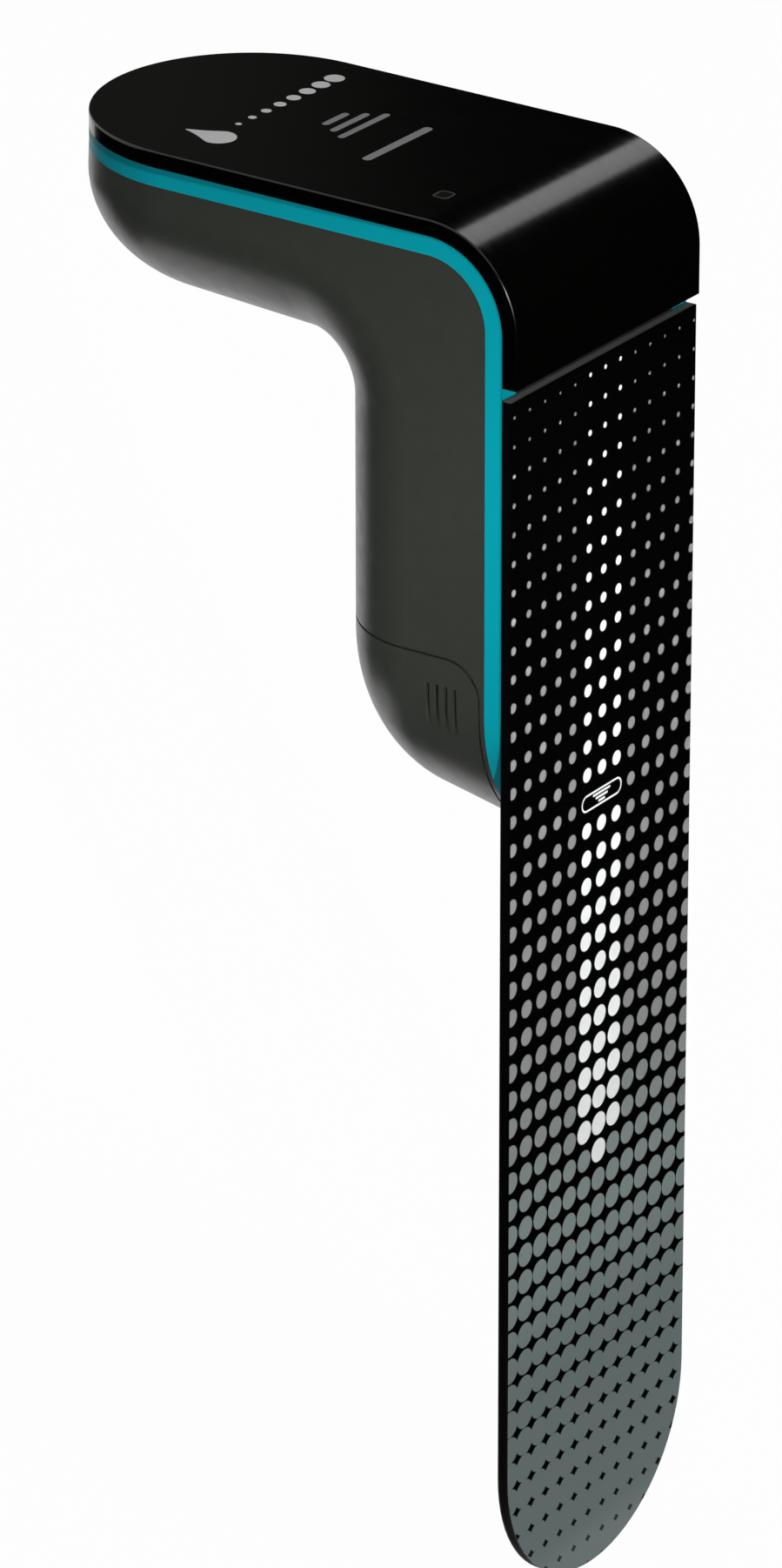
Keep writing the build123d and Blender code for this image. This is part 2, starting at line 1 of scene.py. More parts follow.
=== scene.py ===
"""Looks of a soil moisture sensor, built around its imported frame.

The frame's pieces keep their shapes and get procedural finishes. The printed marks on the glossy cover
are thin layers of ink of their own. Everything is in metres, in the frame's own axes: +X is the blade's
outward normal, +Y runs across the blade and +Z is up.
"""

import json
import logging
import math
from dataclasses import dataclass
from enum import Enum

import bmesh
import bpy
from mathutils import Matrix, Vector

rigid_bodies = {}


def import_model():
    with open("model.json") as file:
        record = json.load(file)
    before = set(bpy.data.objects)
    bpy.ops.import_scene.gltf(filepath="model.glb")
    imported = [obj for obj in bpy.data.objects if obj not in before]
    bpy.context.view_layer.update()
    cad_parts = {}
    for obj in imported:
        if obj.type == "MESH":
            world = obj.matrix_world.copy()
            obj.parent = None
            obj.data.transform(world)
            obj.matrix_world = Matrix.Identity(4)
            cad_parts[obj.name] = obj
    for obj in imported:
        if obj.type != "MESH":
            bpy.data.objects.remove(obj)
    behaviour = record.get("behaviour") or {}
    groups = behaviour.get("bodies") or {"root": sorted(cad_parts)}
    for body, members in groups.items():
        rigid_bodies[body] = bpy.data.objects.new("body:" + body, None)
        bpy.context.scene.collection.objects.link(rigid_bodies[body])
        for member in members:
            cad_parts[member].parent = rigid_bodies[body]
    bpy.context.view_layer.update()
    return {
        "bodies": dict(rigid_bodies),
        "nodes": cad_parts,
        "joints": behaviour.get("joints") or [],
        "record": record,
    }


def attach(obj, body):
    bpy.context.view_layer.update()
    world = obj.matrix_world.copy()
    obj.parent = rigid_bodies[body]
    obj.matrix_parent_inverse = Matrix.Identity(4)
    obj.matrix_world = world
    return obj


LOG = logging.getLogger("sensor")
MM = 0.001
Pair = tuple[float, float]
Colour = tuple[float, float, float]
Point = tuple[float, float, float]
Socket = bpy.types.NodeSocket
Value = float | Socket
Paint = Colour | Socket
Setting = float | tuple[float, ...] | Socket
MIX_COLOURS = (6, 7)  # the Mix node's two colour inputs
MIX_RESULT = 2  # and its colour output


class Body(Enum):
    """Body of the frame that new pieces ride on."""

    ROOT = "root"


class Operation(Enum):
    """Arithmetic of a Math node."""

    ADD = "ADD"
    SUBTRACT = "SUBTRACT"
    MULTIPLY = "MULTIPLY"
    DIVIDE = "DIVIDE"
    ROUND = "ROUND"
    ABSOLUTE = "ABSOLUTE"
    MAXIMUM = "MAXIMUM"
    MINIMUM = "MINIMUM"
    LESS = "LESS_THAN"
    MORE = "GREATER_THAN"
    SINE = "SINE"
    ROOT = "SQRT"


class Graph:
    """Shader graph of one material, written as sums instead of single nodes."""

    def __init__(self, name: str) -> None:
        """Start a material with a Principled shader.

        Args:
            name: The material's name.
        """
        self.material = bpy.data.materials.new(name)
        self.material.use_nodes = True
        self.tree = self.material.node_tree
        self.shader = self.tree.nodes["Principled BSDF"]
        self.place = self.tree.nodes.new("ShaderNodeTexCoord").outputs["Object"]
        self.axes = self._axes()

    def _axes(self) -> dict[str, Socket]:
        """Split the place on the object into its three coordinates.

        Returns:
            The sockets of x, y and z, in metres.
        """
        split = self.tree.nodes.new("ShaderNodeSeparateXYZ")
        self.tree.links.new(self.place, split.inputs[0])
        return {"x": split.outputs[0], "y": split.outputs[1], "z": split.outputs[2]}

    def feed(self, socket: Socket, value: Setting) -> None:
        """Link a socket or set its value.

        Args:
            socket: The input.
            value: Another node's output, or a constant.
        """
        if isinstance(value, Socket):
            self.tree.links.new(value, socket)
        else:
            socket.default_value = value

    def math(self, operation: Operation, first: Value, second: Value = 0.0) -> Socket:
        """Add a Math node.

        Args:
            operation: What it works out.
            first: First operand.
            second: Second operand.

        Returns:
            The result's socket.
        """
        node = self.tree.nodes.new("ShaderNodeMath")
        node.operation = operation.value
        self.feed(node.inputs[0], first)
        self.feed(node.inputs[1], second)
        return node.outputs[0]

    def length(self, first: Socket, second: Socket) -> Socket:
        """Work out a distance from its parts on two axes.

        Args:
            first: First part.
            second: Second part.

        Returns:
            The distance's socket.
        """
        squares = [self.math(Operation.MULTIPLY, part, part) for part in (first, second)]
        return self.math(Operation.ROOT, self.math(Operation.ADD, *squares))

    def blend(self, share: Value, low: Paint, high: Paint) -> Socket:
        """Mix two colours.

        Args:
            share: 0 gives the first colour and 1 the second.
            low: Colour or socket at 0.
            high: Colour or socket at 1.

        Returns:
            The mixed colour's socket.
        """
        node = self.tree.nodes.new("ShaderNodeMix")
        node.data_type = "RGBA"
        self.feed(node.inputs[0], share)
        for number, colour in zip(MIX_COLOURS, (low, high)):
            self.feed(node.inputs[number], rgba(colour))
        return node.outputs[MIX_RESULT]

    def spread(self, value: Value, source: Pair, target: Pair = (0.0, 1.0)) -> Socket:
        """Map a value from one range to another, smoothly and clamped.

        Args:
            value: The value.
            source: Range that it comes from.
            target: Range that it goes to.

        Returns:
            The mapped value's socket.
        """
        node = self.tree.nodes.new("ShaderNodeMapRange")
        node.interpolation_type = "SMOOTHSTEP"
        self.feed(node.inputs["Value"], value)
        for socket, number in zip(("From Min", "From Max", "To Min", "To Max"), (*source, *target)):
            node.inputs[socket].default_value = number
        return node.outputs["Result"]

    def noise(self, scale: float, detail: float = 2.0, stretch: Point = (1.0, 1.0, 1.0)) -> Socket:
        """Add a noise texture over the object's coordinates.

        Args:
            scale: Cells per metre.
            detail: Octaves.
            stretch: Factor on each axis, for brushed or drawn marks.

        Returns:
            The noise value's socket.
        """
        node = self.tree.nodes.new("ShaderNodeTexNoise")
        mapping = self.tree.nodes.new("ShaderNodeMapping")
        mapping.inputs["Scale"].default_value = stretch
        self.feed(mapping.inputs["Vector"], self.place)
        self.feed(node.inputs["Vector"], mapping.outputs[0])
        node.inputs["Scale"].default_value = scale
        node.inputs["Detail"].default_value = detail
        return node.outputs["Fac"]

    def bump(self, height: Socket, distance: float, strength: float = 1.0) -> None:
        """Raise the surface by a height.

        Args:
            height: Height from 0 to 1.
            distance: Metres that a height of 1 stands for.
            strength: Share of that to show.
        """
        node = self.tree.nodes.new("ShaderNodeBump")
        node.inputs["Distance"].default_value = distance
        node.inputs["Strength"].default_value = strength
        self.feed(node.inputs["Height"], height)
        self.feed(self.shader.inputs["Normal"], node.outputs[0])

    def set(self, **values: Setting) -> None:
        """Set or link the shader's inputs.

        Args:
            values: Inputs by name in lower case, with _ for a space.
        """
        for name, value in values.items():
            title = name.replace("_", " ").title().replace("Ior", "IOR")
            self.feed(self.shader.inputs[title], value)


def rgba(colour: Paint) -> Setting:
    """Give a colour its alpha, and leave a socket as it is.

    Args:
        colour: Three numbers or a socket.

    Returns:
        Four numbers or the same socket.
    """
    return (*colour, 1.0) if isinstance(colour, tuple) else colour


@dataclass(frozen=True)
class Finish:
    """Moulded or cast surface: a colour with slight variation, a grain and a gloss."""

    name: str
    colour: Colour
    roughness: float = 0.4
    specular: float = 0.5
    metallic: float = 0.0
    variation: float = 0.06  # share by which the colour varies
    patch: float = 260.0  # cells per metre of the colour's variation
    grain: float = 5200.0  # cells per metre of the surface's grain
    depth: float = 0.012 * MM  # height of the grain
    window: Pair = (0.3, 0.7)  # part of the patches' range that changes the roughness
    shares: Pair = (0.92, 1.08)  # of the roughness, at the window's two ends

    def toned(self, share: float) -> Colour:
        """Colour of the finish times a share, no brighter than white."""
        return tuple(min(1.0, part * share) for part in self.colour)

    def uneven(self, graph: Graph, pattern: Socket, window: Pair, shares: Pair) -> Socket:
        """Let the roughness follow a pattern.

        Args:
            graph: The finish's graph.
            pattern: The pattern, from 0 to 1.
            window: Part of the pattern's range that counts.
            shares: Shares of the finish's own roughness at the window's two ends.

        Returns:
            The roughness.
        """
        return graph.spread(pattern, window, tuple(self.roughness * share for share in shares))

    def detail(self, graph: Graph) -> None:
        """Add the grain. A special finish adds here what sets it apart.

        Args:
            graph: The finish's graph.
        """
        graph.bump(graph.noise(self.grain), self.depth)

    def build(self) -> bpy.types.Material:
        """Build the finish's material.

        Returns:
            The material.
        """
        graph = Graph(self.name)
        patches = graph.noise(self.patch, detail=3.0)
        dark, light = self.toned(1 - self.variation), self.toned(1 + self.variation)
        graph.set(
            base_color=graph.blend(patches, dark, light),
            roughness=self.uneven(graph, patches, self.window, self.shares),
            metallic=self.metallic,
            specular_ior_level=self.specular,
        )
        self.detail(graph)
        return graph.material


@dataclass(frozen=True)
class GlossyBlack(Finish):
    """Polished black moulding with faint wiping marks in its gloss."""

    wiping: float = 900.0  # cells per metre of the marks
    wiping_stretch: Point = (0.15, 1.0, 0.15)
    wiping_window: Pair = (0.3, 0.75)
    wiping_shares: Pair = (0.9, 1.15)

    def detail(self, graph: Graph) -> None:
        """Add the wiping marks.

        Args:
            graph: The finish's graph.
        """
        super().detail(graph)
        wiped = graph.noise(self.wiping, detail=4.0, stretch=self.wiping_stretch)
        graph.set(roughness=self.uneven(graph, wiped, self.wiping_window, self.wiping_shares))


@dataclass(frozen=True)
class PaintedShadeBand(Finish):
    """Coloured moulding with a painted shade: darker just under the plates in front of it, as if in their
    shadow.
    """

    bend: Pair = (-16.5 * MM, 87.9 * MM)  # the bend's centre, X and Z
    radius: float = 17.2 * MM  # from that centre to the cover's face
    shade: Pair = (2.7 * MM, 3.3 * MM)  # the painted shade strip, below the cover's face
    share: float = 0.6  # of the colour left by the painted shade, at the strip's outer edge
    darkest: float = 0.02  # share of the colour that a full painted shade would leave

    def detail(self, graph: Graph) -> None:
        """Add the painted shade strip, which follows the cover's face round the bend.

        Args:
            graph: The finish's graph.
        """
        super().detail(graph)
        across = graph.math(Operation.SUBTRACT, graph.axes["x"], self.bend[0])
        above = graph.math(Operation.SUBTRACT, graph.axes["z"], self.bend[1])
        reach = graph.length(*(graph.math(Operation.MAXIMUM, part, 0.0) for part in (across, above)))
        depth = graph.math(Operation.SUBTRACT, self.radius, reach)
        # painted shade: the colour darkens towards the cover's face, standing in for the cover's shadow
        light = graph.spread(depth, self.shade, (self.share, 1.0))
        graph.set(base_color=graph.blend(light, self.toned(self.darkest), self.colour))


@dataclass(frozen=True)
class Brushed(Finish):
    """Drawn or rolled metal with fine lines along one axis instead of a grain."""

    stretch: Point = (0.04, 1.0, 1.0)
    lines: float = 4200.0  # cells per metre across the lines
    line_depth: float = 0.006 * MM
    line_window: Pair = (0.25, 0.75)
    line_shares: Pair = (0.75, 1.3)

    def detail(self, graph: Graph) -> None:
        """Add the lines.

        Args:
            graph: The finish's graph.
        """
        lines = graph.noise(self.lines, detail=3.0, stretch=self.stretch)
        graph.set(roughness=self.uneven(graph, lines, self.line_window, self.line_shares))
        graph.bump(lines, self.line_depth)


@dataclass(frozen=True)
class CellJacket(Finish):
    """Metal jacket of a dry cell with a wide band of another colour at one end."""

    band: Colour = (0.45, 0.30, 0.07)
    band_metallic: float = 0.8
    band_foot: float = 52.0 * MM  # height where the band starts

    def detail(self, graph: Graph) -> None:
        """Add the band.

        Args:
            graph: The finish's graph.
        """
        super().detail(graph)
        share = graph.math(Operation.MORE, graph.axes["z"], self.band_foot)
        graph.set(
            base_color=graph.blend(share, self.colour, self.band),
            metallic=graph.spread(share, (0.0, 1.0), (self.metallic, self.band_metallic)),
        )


@dataclass(frozen=True)
class Laminate(Finish):
    """Black laminate whose sawn upper edge shows its lighter fibres."""

    sawn: Colour = (0.075, 0.075, 0.073)
    top: float = 77.55 * MM  # height just below the sawn edge

    def detail(self, graph: Graph) -> None:
        """Add the sawn edge.

        Args:
            graph: The finish's graph.
        """
        super().detail(graph)
        edge = graph.math(Operation.MORE, graph.axes["z"], self.top)
        graph.set(base_color=graph.blend(edge, self.colour, self.sawn))


@dataclass(frozen=True)
class Leads(Finish):
    """Insulated leads, one colour on each side of the middle."""

    other: Colour = (0.012, 0.012, 0.012)

    def detail(self, graph: Graph) -> None:
        """Add the second colour.

        Args:
            graph: The finish's graph.
        """
        super().detail(graph)
        side = graph.math(Operation.MORE, graph.axes["y"], 0.0)
        graph.set(base_color=graph.blend(side, self.colour, self.other))


@dataclass(frozen=True)
class Board(Finish):
    """Circuit board: solder mask with copper tracks faintly visible under it."""

    track: Colour = (0.035, 0.16, 0.06)
    rate: float = 3100.0  # radians per metre of the tracks' wave
    drift: float = 1.6  # how far a slow noise breaks the tracks up
    drift_cells: float = 120.0  # cells per metre of that noise
    edge: Pair = (1.35, 1.45)  # sum of wave and drift at a track's edge

    def detail(self, graph: Graph) -> None:
        """Add the tracks.

        Args:
            graph: The finish's graph.
        """
        super().detail(graph)
        wave = graph.math(Operation.SINE, graph.math(Operation.MULTIPLY, graph.axes["y"], self.rate))
        drift = graph.math(Operation.MULTIPLY, graph.noise(self.drift_cells, detail=0.0), self.drift)
        tracks = graph.spread(graph.math(Operation.ADD, wave, drift), self.edge)
        graph.set(base_color=graph.blend(tracks, self.colour, self.track))


@dataclass(frozen=True)
class DotPrint:
    """Printed film: dots that grow towards the tip, with three bright columns and a framed soil level."""

    name: str = "printed film"
    column: float = 4.4 * MM
    row: float = 5.0 * MM
    first_row: float = 75.0 * MM  # height of the first row
    radius: Pair = (0.054, 0.01385)  # at row 0 and its growth per row, in columns
    edge: float = 0.02  # softness of a dot's edge, in columns
    bright_radius: Pair = (0.083, 0.0142)
    bright_rise: float = 0.06  # shift of the bright dots, in rows
    bright_half: float = 1.5  # columns on each side of the middle
    bright_last: float = 28.5  # just past the middle column's last bright row
    ground: Colour = (0.0006, 0.0006, 0.0006)
    bright: Colour = (0.80, 0.822, 0.815)
    grey: Colour = (0.246, 0.252, 0.250)
    cool_grey: Colour = (0.211, 0.260, 0.252)
    cool_rows: Pair = (22.0, 31.0)  # where the grey turns cool
    low_grey: Colour = (0.149, 0.184, 0.182)
    low_rows: Pair = (29.0, 36.0)  # where it turns darker
    level_size: Pair = (12.0 * MM, 3.05 * MM)
    level_rise: float = 0.2 * MM
    level_line: float = 0.34 * MM
    level_margin: float = 0.3 * MM  # strip round the level without dots
    level_fade: float = 0.06 * MM  # softness of its edges
    strokes: tuple[Pair, ...] = (  # height of each stroke and half its length
        (0.7 * MM, 2.6 * MM),
        (0.0, 1.8 * MM),
        (-0.7 * MM, 1.0 * MM),
    )
    stroke_half: float = 0.2 * MM  # half a stroke's thickness
    front: float = -0.02 * MM  # the ink is printed in front of this
    wear: float = 1500.0  # cells per metre of the wear
    wear_window: Pair = (0.3, 0.7)  # part of the wear's range that changes the roughness
    roughness: Pair = (0.30, 0.38)  # at the window's two ends
    specular: float = 0.08
    relief: float = 0.01 * MM  # height of the ink
    relief_strength: float = 0.6
    worn_relief: float = 0.15  # share of the wear in that height

    def rows_down(self, graph: Graph) -> Socket:
        """Count the rows from the first one down, in parts of a row.

        Args:
            graph: The film's graph.

        Returns:
            The number of rows.
        """
        down = graph.math(Operation.SUBTRACT, self.first_row, graph.axes["z"])
        return graph.math(Operation.DIVIDE, down, self.row)

    def nearest(self, graph: Graph, rise: float) -> tuple[Socket, Socket]:
        """Measure the distance to the nearest dot's centre.

        Args:
            graph: The film's graph.
            rise: Shift of the dots upwards, in rows.

        Returns:
            The distance, in columns, and the dot's row.
        """
        across = graph.math(Operation.DIVIDE, graph.axes["y"], self.column)
        down = graph.math(Operation.ADD, self.rows_down(graph), rise)
        number = graph.math(Operation.ROUND, down)
        side = graph.math(Operation.SUBTRACT, across, graph.math(Operation.ROUND, across))
        height = graph.math(Operation.SUBTRACT, down, number)
        height = graph.math(Operation.MULTIPLY, height, self.row / self.column)
        return graph.length(side, height), number

    def dots(self, graph: Graph, size: Pair, rise: float) -> tuple[Socket, Socket]:
        """Draw one set of dots.

        Args:
            graph: The film's graph.
            size: Radius at row 0 and its growth per row, in columns.
            rise: Shift upwards, in rows.

        Returns:
            The dots' cover, from 0 to 1, and each dot's row.
        """
        distance, number = self.nearest(graph, rise)
        radius = graph.math(Operation.ADD, graph.math(Operation.MULTIPLY, number, size[1]), size[0])
        inside = graph.math(Operation.SUBTRACT, radius, distance)
        return graph.spread(inside, (-self.edge, self.edge)), number

    def bright_zone(self, graph: Graph, row: Socket) -> Socket:
        """Find the place of the bright dots, whose middle column reaches one row further.

        Args:
            graph: The film's graph.
            row: Row of the nearest bright dot.

        Returns:
            1 in the bright columns and 0 outside them.
        """
        column = graph.math(Operation.ROUND, graph.math(Operation.DIVIDE, graph.axes["y"], self.column))
        column = graph.math(Operation.ABSOLUTE, column)
        middle = graph.math(Operation.LESS, column, self.bright_half)
        upper = graph.math(Operation.LESS, graph.math(Operation.ADD, row, column), self.bright_last)
        return graph.math(Operation.MULTIPLY, middle, upper)

    def plain_ink(self, graph: Graph) -> Socket:
        """Colour the plain dots, which turn cool and then darker towards the tip.

        Args:
            graph: The film's graph.

        Returns:
            The colour.
        """
        down = self.rows_down(graph)
        grey = graph.blend(graph.spread(down, self.cool_rows), self.grey, self.cool_grey)
        return graph.blend(graph.spread(down, self.low_rows), grey, self.low_grey)

    def rounded(self, graph: Graph, half: Pair, corner: float, centre: float) -> Socket:
        """Signed distance to a rounded box on the blade.

        Args:
            graph: The film's graph.
            half: Half its width and half its height.
            corner: Radius of its corners.
            centre: Height of its middle.

        Returns:
            The distance, negative inside, in metres.
        """
        height = graph.math(Operation.SUBTRACT, graph.axes["z"], centre)
        sides = [
            graph.math(Operation.SUBTRACT, graph.math(Operation.ABSOLUTE, place), size - corner)
            for place, size in zip((graph.axes["y"], height), half)
        ]
        outer = graph.length(*(graph.math(Operation.MAXIMUM, side, 0.0) for side in sides))
        inner = graph.math(Operation.MINIMUM, graph.math(Operation.MAXIMUM, *sides), 0.0)
        return graph.math(Operation.SUBTRACT, graph.math(Operation.ADD, outer, inner), corner)

    def level(self, graph: Graph) -> tuple[Socket, Socket]:
        """Draw the soil level: a frame round three shrinking strokes.

        Args:
            graph: The film's graph.

        Returns:
            The field that the level keeps free of dots, and its own ink.
        """
        half = (self.level_size[0] / 2, self.level_size[1] / 2)
        frame = self.rounded(graph, half, half[1], self.level_rise)
        line = self.level_line / 2
        away = graph.math(Operation.ABSOLUTE, graph.math(Operation.ADD, frame, line))
        ink = graph.spread(away, (line - self.level_fade, line + self.level_fade), (1.0, 0.0))
        for height, reach in self.strokes:
            size = (reach, self.stroke_half)
            stroke = self.rounded(graph, size, self.stroke_half, self.level_rise + height)
            stroke = graph.spread(stroke, (-self.level_fade, self.level_fade), (1.0, 0.0))
            ink = graph.math(Operation.MAXIMUM, ink, stroke)
        return graph.spread(frame, (0.0, self.level_margin), (1.0, 0.0)), ink

    def build(self) -> bpy.types.Material:
        """Build the printed film's material.

        Returns:
            The material.
        """
        graph = Graph(self.name)
        dots, _ = self.dots(graph, self.radius, 0.0)
        shining, row = self.dots(graph, self.bright_radius, self.bright_rise)
        zone = self.bright_zone(graph, row)
        field, level = self.level(graph)
        face = graph.math(Operation.MORE, graph.axes["x"], self.front)
        cover = graph.math(Operation.MULTIPLY, graph.math(Operation.SUBTRACT, 1.0, zone), dots)
        cover = graph.math(Operation.ADD, cover, graph.math(Operation.MULTIPLY, zone, shining))
        cover = graph.math(Operation.MULTIPLY, cover, graph.math(Operation.SUBTRACT, 1.0, field))
        cover = graph.math(Operation.MULTIPLY, cover, face)
        level = graph.math(Operation.MULTIPLY, level, face)
        colour = graph.blend(cover, self.ground, graph.blend(zone, self.plain_ink(graph), self.bright))
        worn = graph.noise(self.wear, detail=4.0)
        graph.set(
            base_color=graph.blend(level, colour, self.bright),
            roughness=graph.spread(worn, self.wear_window, self.roughness),
            specular_ior_level=self.specular,
        )
        height = graph.math(Operation.ADD, cover, graph.math(Operation.MULTIPLY, worn, self.worn_relief))
        graph.bump(height, self.relief, self.relief_strength)
        return graph.material


class Look(Enum):
    """Every finish of the sensor, by what it is."""

    GLOSS = GlossyBlack(
        "gloss black", (0.0005, 0.0005, 0.0004), 0.17, 0.36, variation=0.02, depth=0.001 * MM
    )
    SMOKED = Finish("smoked window", (0.008, 0.008, 0.0075), 0.12, 0.4, depth=0.001 * MM)
    # the teal carries a painted shade under the cover's face
    TEAL = PaintedShadeBand("teal plastic", (0.0004, 0.270, 0.327), 0.38, 0.05, variation=0.03, depth=0.004 * MM)
    SHELL = Finish("textured dark grey", (0.0305, 0.0342, 0.028), 0.33, 0.75, patch=420.0)
    BLACK = Finish("black plastic", (0.012, 0.012, 0.012), 0.42)
    RUBBER = Finish("black rubber", (0.018, 0.018, 0.018), 0.7, 0.3)
    CORE = Laminate("black laminate", (0.0012, 0.0012, 0.0012), 0.55, 0.03, grain=2600.0, depth=0.02 * MM)
    FILM = Finish("plain film", (0.004, 0.004, 0.004), 0.34, 0.2, depth=0.002 * MM)
    PRINT_FILM = DotPrint()
    TAPE = Finish("foam tape", (0.03, 0.03, 0.03), 0.85, 0.2, grain=3000.0, depth=0.06 * MM)
    BRASS = Brushed("turned brass", (0.62, 0.42, 0.16), 0.3, 0.5, 1.0)
    STEEL = Brushed("zinc-plated steel", (0.56, 0.57, 0.58), 0.32, 0.5, 1.0)
    SPRING = Brushed("nickel strip", (0.66, 0.64, 0.60), 0.24, 0.5, 1.0, stretch=(1.0, 0.05, 0.05))
    TIN = Brushed("tinned sheet", (0.72, 0.72, 0.71), 0.3, 0.5, 1.0)
    JACKET = CellJacket("cell jacket", (0.05, 0.055, 0.06), 0.32, 0.5, 0.3)
    LEADS = Leads("lead insulation", (0.42, 0.02, 0.015), 0.45)
    BOARD = Board("solder mask", (0.008, 0.07, 0.03), 0.28, 0.5)
    DIODE = Finish("diode", (0.85, 0.82, 0.6), 0.3)
    FLEX = Finish("amber foil", (0.42, 0.19, 0.03), 0.3)
    INK = Finish("light ink", (0.56, 0.57, 0.56), 0.5, 0.2, depth=0.002 * MM)
    GREY_INK = Finish("grey ink", (0.20, 0.205, 0.20), 0.5, 0.2, depth=0.002 * MM)
    FAINT_INK = Finish("faint ink", (0.036, 0.036, 0.034), 0.45, 0.2, depth=0.002 * MM)


class Dresser:
    """Gives finishes to pieces, and builds each finish once."""

    def __init__(self, frame: dict) -> None:
        """Keep the frame's pieces.
        """
        self.nodes = frame["nodes"]
        self.made: dict[Look, bpy.types.Material] = {}

    def material(self, look: Look) -> bpy.types.Material:
        """Material of a finish.

        Args:
            look: The finish.

        Returns:
            The material, built on its first use.
        """
        if look not in self.made:
            self.made[look] = look.value.build()
        return self.made[look]

    def paint(self, piece: bpy.types.Object, look: Look) -> None:
        """Replace an object's materials by one finish.

        Args:
            piece: The object.
            look: The finish.
        """
        piece.data.materials.clear()
        piece.data.materials.append(self.material(look))

    def dress(self, look: Look, *names: str) -> None:
        """Give frame pieces a finish.

        Args:
            look: The finish.
            names: The pieces.
        """
        for name in names:
            self.paint(self.nodes[name], look)
            LOG.info("%s: %s", name, look.value.name)


def add_object(name: str, data: bpy.types.ID) -> bpy.types.Object:
    """Put a mesh, a lamp or a camera into the scene.

    Args:
        name: The object's name.
        data: The mesh, lamp or camera.

    Returns:
        The object.
    """
    made = bpy.data.objects.new(name, data)
    bpy.context.scene.collection.objects.link(made)
    return made


def mesh_of(form: bmesh.types.BMesh, name: str) -> bpy.types.Mesh:
    """Turn a finished form into a mesh.

    Args:
        form: The form. It is freed.
        name: The mesh's name.

    Returns:
        The mesh.
    """
    mesh = bpy.data.meshes.new(name)
    form.to_mesh(mesh)
    form.free()
    return mesh


def place_piece(
    form: bmesh.types.BMesh, name: str, body: Body, look: Look, dresser: Dresser
) -> None:
    """Turn a finished form into a piece that rides on a body.

    Args:
        form: The form, in the frame's axes. It is freed.
        name: The piece's name.
        body: The body it rides on.
        look: The finish.
        dresser: Gives the finish.
    """
    piece = add_object(name, mesh_of(form, name))
    dresser.paint(piece, look)
    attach(piece, body.value)
    LOG.info("%s: %d faces on %s", name, len(piece.data.polygons), body.value)


